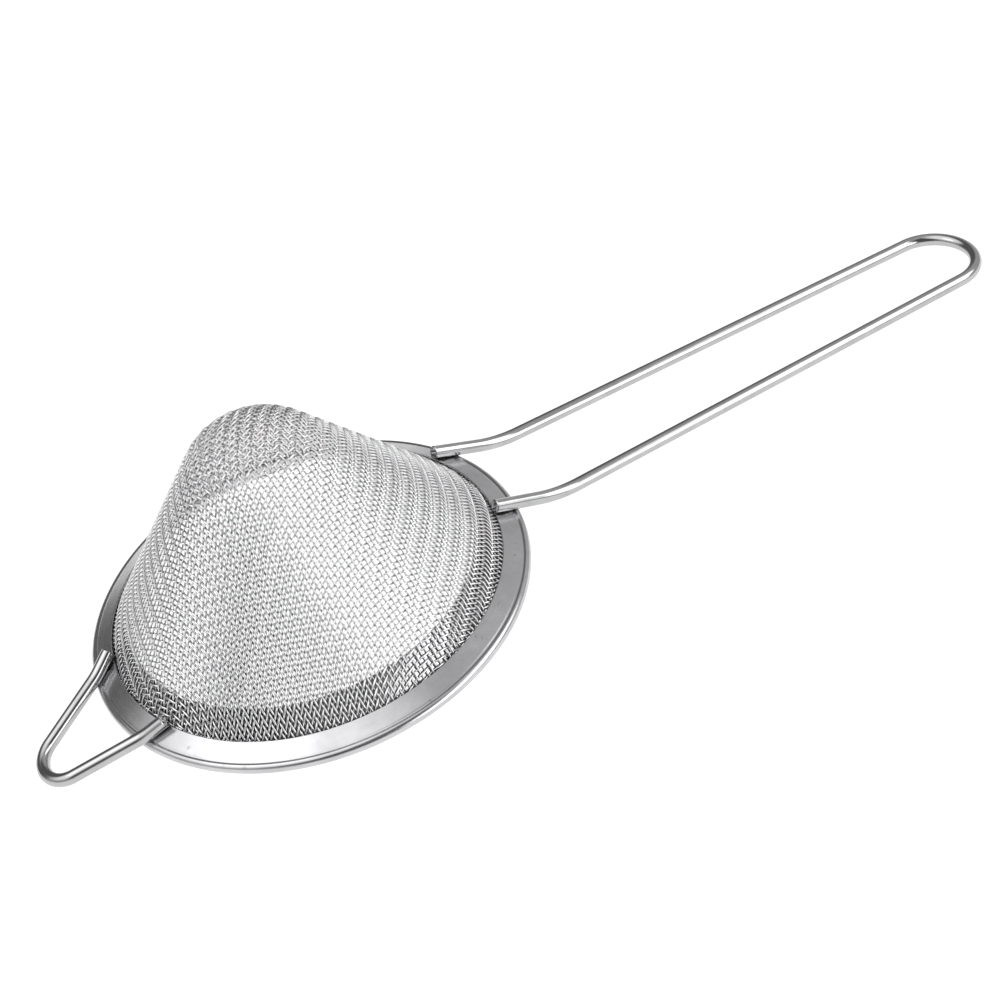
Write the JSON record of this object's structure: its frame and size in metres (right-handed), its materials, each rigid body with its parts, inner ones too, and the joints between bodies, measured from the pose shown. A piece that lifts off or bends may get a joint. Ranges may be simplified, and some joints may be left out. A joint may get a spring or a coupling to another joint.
{
  "type": "conical tea strainer",
  "caption": "Stainless steel tea strainer: a cone of woven wire cloth with a lining collar, clamped in a dished rim, with a long wire handle and a small wire rest welded on.",
  "frame": {"origin": "on the cone's axis, at the mouth-side edge of the clamp ring's bore", "axes": "+Z along the cone's axis from the mouth to the tip; +X towards the round end of the handle, -X towards the rest; the part is symmetric about the plane y = 0"},
  "size_m": [0.2199, 0.085, 0.0594],
  "materials": {
    "cloth": "bright woven stainless steel wire",
    "sheet": "satin stainless steel sheet",
    "wire": "polished drawn stainless steel wire",
    "weld": "dark, unpolished spot weld"
  },
  "bodies": {
    "root": {"mesh_cone": "cloth", "flange_ring": "sheet", "clamp_ring": "sheet", "collar": "sheet", "handle_wire": "wire", "rest_wire": "wire", "handle_welds": "weld", "rest_welds": "weld"}
  },
  "joints": []
}
